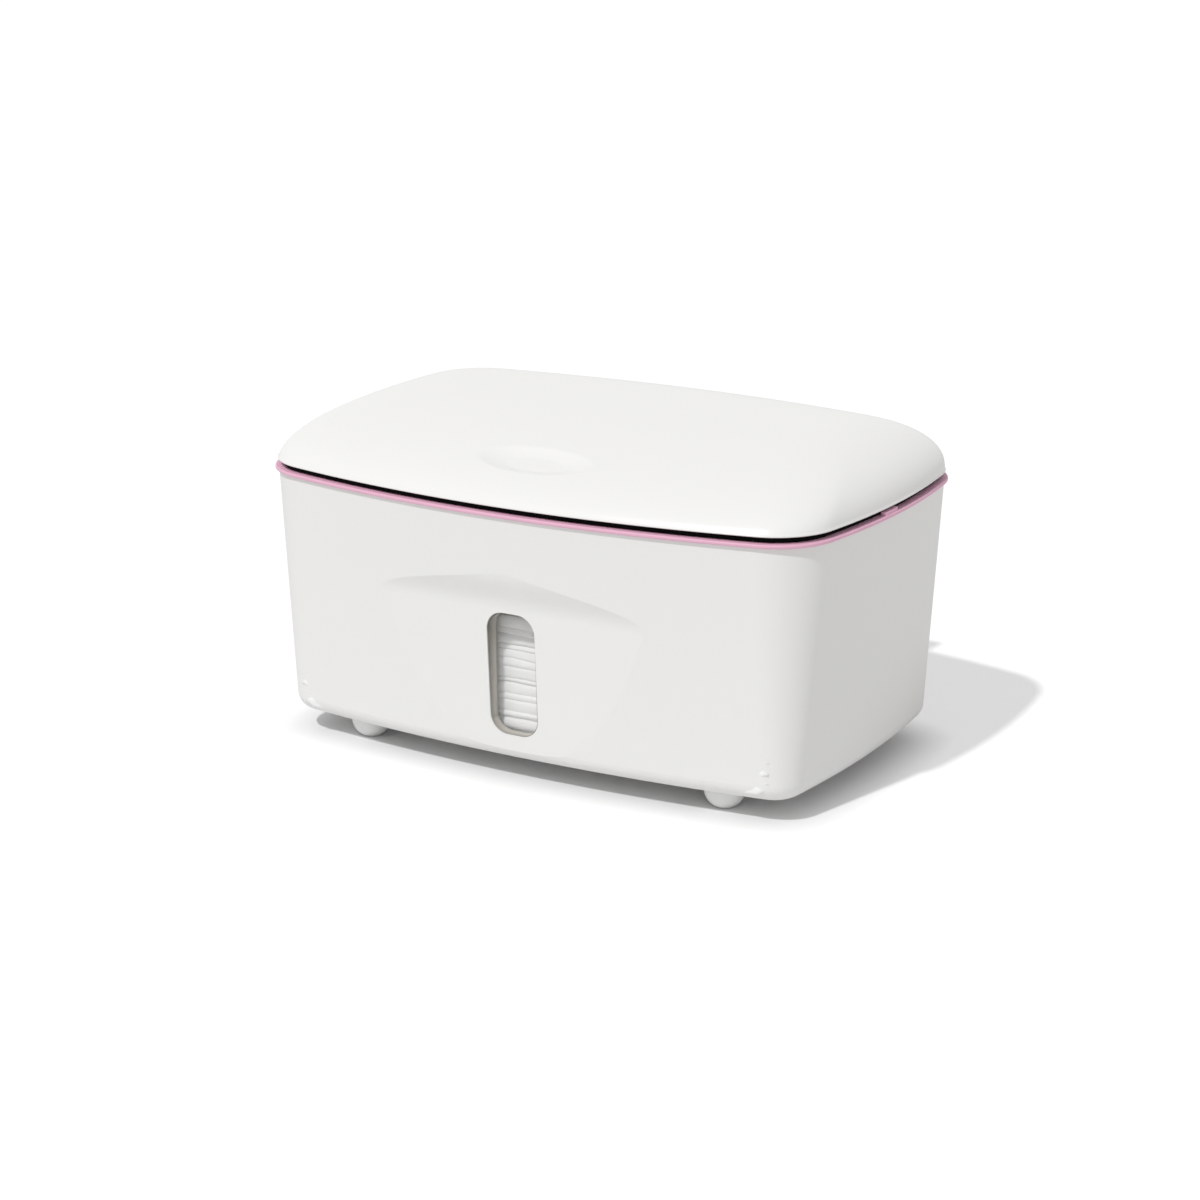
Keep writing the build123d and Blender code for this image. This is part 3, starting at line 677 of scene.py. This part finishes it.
def make_lining():
    """Tube along the edge of the opening, with a tiny lip flush with the wall."""
    mesh = bmesh.new()
    rings = []
    for inset, proud in ((-0.02 * MM, -0.1 * MM), (0.05 * MM, 0.06 * MM), (LINING, 0.0)):
        rings.append([Vector((x, face_y(z) - proud, z)) for x, z in rounded(inset)])
    for share in (0.2, 0.5, 0.8, 1.0):
        edge = rounded(LINING)
        rings.append([Vector((x, face_y(z) + (pane_front - face_y(z)) * share, z)) for x, z in edge])
    rings.append([Vector((x, pane_front, z)) for x, z in rounded(0.0)])
    bridge(mesh, rings + rings[:1])
    bmesh.ops.remove_doubles(mesh, verts=mesh.verts, dist=1e-7)
    bmesh.ops.recalc_face_normals(mesh, faces=mesh.faces)
    return to_mesh(mesh, "window_recess_shade_sheet")


def recess_shade_finish():
    """Painted shade of the recess: dark taupe at the front edge, paler with depth."""
    s = Shader("painted_recess_shade")
    place = s.node("ShaderNodeSeparateXYZ", inputs={"Vector": s.place()}, output="Y")
    depth = s.node("ShaderNodeMapRange", inputs={
        "Value": place, "From Min": face_y(WINDOW_HIGH), "From Max": pane_front,
    })
    cloud = s.grain(2 * MM)
    # The stops are painted shade: darkest where the recess meets the front face, paler towards the pane.
    colour = s.node("ShaderNodeValToRGB", {"stops": [
        (0.05, (0.15, 0.132, 0.104, 1.0)), (0.75, (0.55, 0.525, 0.480, 1.0)),
    ]}, {"Fac": depth + cloud * 0.15})
    feeds = {"Base Color": colour, "Roughness": cloud * 0.1 + 0.3}
    return s.finish(s.node("ShaderNodeBsdfPrincipled", inputs=feeds))


lining = link_mesh("window_recess_shade_sheet", make_lining(), recess_shade_finish(), "base")
print("lining faces:", len(lining.data.polygons))

# %% [markdown]
# ## The stack of wipes
#
# Through the window a stack of folded, moist wipes shows its front edges: uneven layers, a
# little out of level, with thin shade between them and two deeper gaps. Each fold is a soft
# closed pad between two wavy levels. Random numbers with a fixed seed keep it repeatable.

# %% Folded wipes
FOLD_EDGE = 0.42 * MM
THICK_FOLD, THIN_FOLD = (3.4 * MM, 5.2 * MM), (1.5 * MM, 2.7 * MM)
WAVE = 0.34
DEEP_GAP, DEEP_EVERY = 0.8 * MM, 5
RUFFLE = 0.25 * MM
FOLD_COLUMNS, FOLD_SIDE_STEPS, FOLD_LENGTH_STEPS = 72, 8, 10
stack_low, stack_high = extent("wipes_stack")
fold_random = random.Random(11)


def fold_levels():
    """Heights of the levels between folds, from the bottom of the stack to its top."""
    levels = [0.0]
    while levels[-1] < stack_high.z - stack_low.z - THIN_FOLD[0]:
        thick = THIN_FOLD if len(levels) % 2 == 0 else THICK_FOLD
        levels.append(levels[-1] + fold_random.uniform(*thick))
    share = (stack_high.z - stack_low.z) / levels[-1]
    return [stack_low.z + level * share for level in levels]


def level_at(levels, index, x, y):
    """Height of a level over a point; inner levels wave and lean a little."""
    if index in (0, len(levels) - 1):
        return levels[index]
    room = min(levels[index] - levels[index - 1], levels[index + 1] - levels[index])
    wave = noise.noise(Vector((x * 38, y * 12, index * 3.7)))
    wave += 0.35 * noise.noise(Vector((x * 120, y * 20, index * 5.1)))
    return levels[index] + WAVE * room * wave


def make_fold(mesh, levels, index, gap):
    """One folded wipe as a closed pad with soft edges; 'gap' draws its edges in further."""
    front = stack_low.y + fold_random.uniform(0.0, 0.5) * MM
    back = stack_high.y - fold_random.uniform(0.0, 1.5) * MM
    reach = stack_high.x - fold_random.uniform(0.0, 2.0) * MM
    edge = [0.5 - 0.5 * math.cos(math.pi * i / FOLD_SIDE_STEPS) for i in range(FOLD_SIDE_STEPS + 1)]
    spread = [i / FOLD_LENGTH_STEPS for i in range(1, FOLD_LENGTH_STEPS)]
    profile = [(0, share) for share in edge] + [(s, 1) for s in spread]
    profile += [(1, share) for share in reversed(edge)] + [(s, 0) for s in reversed(spread)]
    columns = []
    soft = FOLD_EDGE + gap
    for column in range(FOLD_COLUMNS + 1):
        x = reach * (-1 + 2 * column / FOLD_COLUMNS)
        pinch = math.sqrt(max(0.02, 1 - max(0.0, (abs(x) - reach + soft) / soft) ** 2))
        ring = []
        for along, share in profile:
            tuck = soft * abs(2 * share - 1) ** 3
            ruffle = RUFFLE * noise.noise(Vector((x * 60, index * 9.1, share * 2)))
            y = front + tuck + ruffle + (back - front - 2 * tuck) * along
            low, high = level_at(levels, index, x, y), level_at(levels, index + 1, x, y)
            middle = (low + high) / 2
            ring.append(Vector((x, y, middle + (low + (high - low) * share - middle) * pinch)))
        columns.append(ring)
    made = bridge(mesh, columns)
    mesh.faces.new(made[0][::-1])
    mesh.faces.new(made[-1])


fold_mesh = bmesh.new()
levels = fold_levels()
for index in range(len(levels) - 1):
    make_fold(fold_mesh, levels, index, DEEP_GAP if index % DEEP_EVERY == 2 else 0.0)
bmesh.ops.recalc_face_normals(fold_mesh, faces=fold_mesh.faces)
stack = link_mesh("folded_wipes", to_mesh(fold_mesh, "folded_wipes"), cloth_finish, "base")
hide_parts("wipes_stack")
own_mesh(stack)
print("folds in the stack:", len(levels) - 1)

# %% [markdown]
# ## The wipe in the slot
#
# The uppermost wipe is pulled up through the slot and stands in loose pleats. It is one thin
# sheet: its pleats are narrow where the slot gathers them and open towards the free edge.

# %% Gathered wipe
CLOTH_THICKNESS = 0.45 * MM
PLEATS = 3.5
PLEAT_FOOT, PLEAT_OPENING = 1.6 * MM, 2.4 * MM
LEAN = 2.0 * MM
ACROSS, UPWARD = 120, 22
top_low, top_high = extent("top_wipe")


def gathered_point(u, v):
    """Point of the sheet at u across (-1 to 1) and v up (0 to 1)."""
    fan = 0.62 + 0.38 * v ** 1.5
    x = top_high.x * 0.98 * u * fan + 0.8 * MM * noise.noise(Vector((u * 3, v * 2, 1.5)))
    pleat = math.sin(math.pi * PLEATS * u + 0.9 * math.sin(3 * u))
    y = (PLEAT_FOOT + PLEAT_OPENING * v) * pleat + LEAN * v * v * math.sin(2.2 * u + 0.6)
    droop = 0.12 * abs(u) ** 2 * v + 0.10 * v * noise.noise(Vector((u * 4, 0.3, 7.7)))
    return Vector((x, top_low.y + y, top_low.z + (top_high.z - top_low.z) * (v * 0.98 - droop)))


sheet_mesh = bmesh.new()
grid = [
    [sheet_mesh.verts.new(gathered_point(-1 + 2 * i / ACROSS, j / UPWARD)) for i in range(ACROSS + 1)]
    for j in range(UPWARD + 1)
]
for row, above in zip(grid, grid[1:]):
    for i in range(ACROSS):
        sheet_mesh.faces.new((row[i], row[i + 1], above[i + 1], above[i]))
cloth_height = top_high.z - top_low.z
cloth_area = sum(face.calc_area() for face in sheet_mesh.faces)
top_wipe = link_mesh("gathered_wipe", to_mesh(sheet_mesh, "gathered_wipe"), cloth_finish, "plate")
thicken = top_wipe.modifiers.new("thickness", "SOLIDIFY")
thicken.thickness = CLOTH_THICKNESS
thicken.offset = 0
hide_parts("top_wipe")
cloth_area / cloth_height
print("cloth area in cm2:", round(cloth_area * 10000, 1))

# %% [markdown]
# ## Wound springs
#
# The construction model shows its springs as plain sleeves. Here each is wound of round wire:
# a path of points along a helix, with its two straight legs, and a circle swept along it.

# %% Wire along a path
def wire(mesh, path, radius, sides=10):
    """Sweeps a circle along the points of a path and caps its ends."""
    rings = []
    across = None
    for i, point in enumerate(path):
        ahead = (path[min(i + 1, len(path) - 1)] - path[max(i - 1, 0)]).normalized()
        across = ahead.orthogonal() if across is None else (across - ahead * across.dot(ahead))
        across.normalize()
        side = ahead.cross(across)
        turns = [math.tau * k / sides for k in range(sides)]
        rings.append([point + across * radius * math.cos(t) + side * radius * math.sin(t) for t in turns])
    made = bridge(mesh, rings)
    mesh.faces.new(made[0][::-1])
    mesh.faces.new(made[-1])
    bmesh.ops.recalc_face_normals(mesh, faces=mesh.faces)


TURN_STEPS = 24
HINGE_WIRE = 0.9 * MM
HINGE_COILS = 9
HINGE_RADIUS = 2.9 * MM
LEG_POINTS, LEG_STEP = 4, 1.2 * MM


def hinge_spring(name, way):
    """Torsion spring round the pin: a leg down to the bracket, close coils, a leg under the lid."""
    low, high = extent(name)
    near = way * min(abs(low.x), abs(high.x)) + way * HINGE_WIRE / 2
    far = way * max(abs(low.x), abs(high.x)) - way * HINGE_WIRE / 2
    steps = HINGE_COILS * TURN_STEPS
    legs = range(LEG_POINTS)
    path = [Vector((near, PIN_Y + HINGE_RADIUS, low.z + (PIN_Z - low.z) * i / LEG_POINTS)) for i in legs]
    for i in range(steps - 5):
        turn = math.tau * i / TURN_STEPS
        round_pin = Vector((0, math.cos(turn), math.sin(turn))) * HINGE_RADIUS
        path.append(Vector((near + (far - near) * i / steps, PIN_Y, PIN_Z)) + round_pin)
    path += [Vector((far, PIN_Y - LEG_STEP * i, PIN_Z - HINGE_RADIUS)) for i in legs]
    mesh = bmesh.new()
    wire(mesh, path, HINGE_WIRE / 2)
    spring = link_mesh(name + "_coil", to_mesh(mesh, name), steel_finish, "base")
    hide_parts(name)
    return spring


for name, way in (("hinge_spring_left", -1), ("hinge_spring_right", 1)):
    print(name, "points:", len(hinge_spring(name, way).data.vertices))

# %% The latch's spring
LATCH_WIRE = 0.7 * MM
LATCH_COILS = 5
coil_low, coil_high = extent("latch_spring")
coil_centre = (coil_low + coil_high) / 2
coil_radius = (coil_high.x - coil_low.x - LATCH_WIRE) / 2
coil_steps = LATCH_COILS * TURN_STEPS
coil_path = []
for i in range(coil_steps + 1):
    rise = (coil_high.z - coil_low.z - LATCH_WIRE) * i / coil_steps + LATCH_WIRE / 2
    turn = math.tau * i / TURN_STEPS
    x = coil_centre.x + coil_radius * math.cos(turn)
    y = coil_centre.y + coil_radius * math.sin(turn)
    coil_path.append(Vector((x, y, coil_low.z + rise)))
coil_mesh = bmesh.new()
wire(coil_mesh, coil_path, LATCH_WIRE / 2)
latch_coil = link_mesh("latch_coil", to_mesh(coil_mesh, "latch_coil"), steel_finish, "base")
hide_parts("latch_spring")
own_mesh(latch_coil)
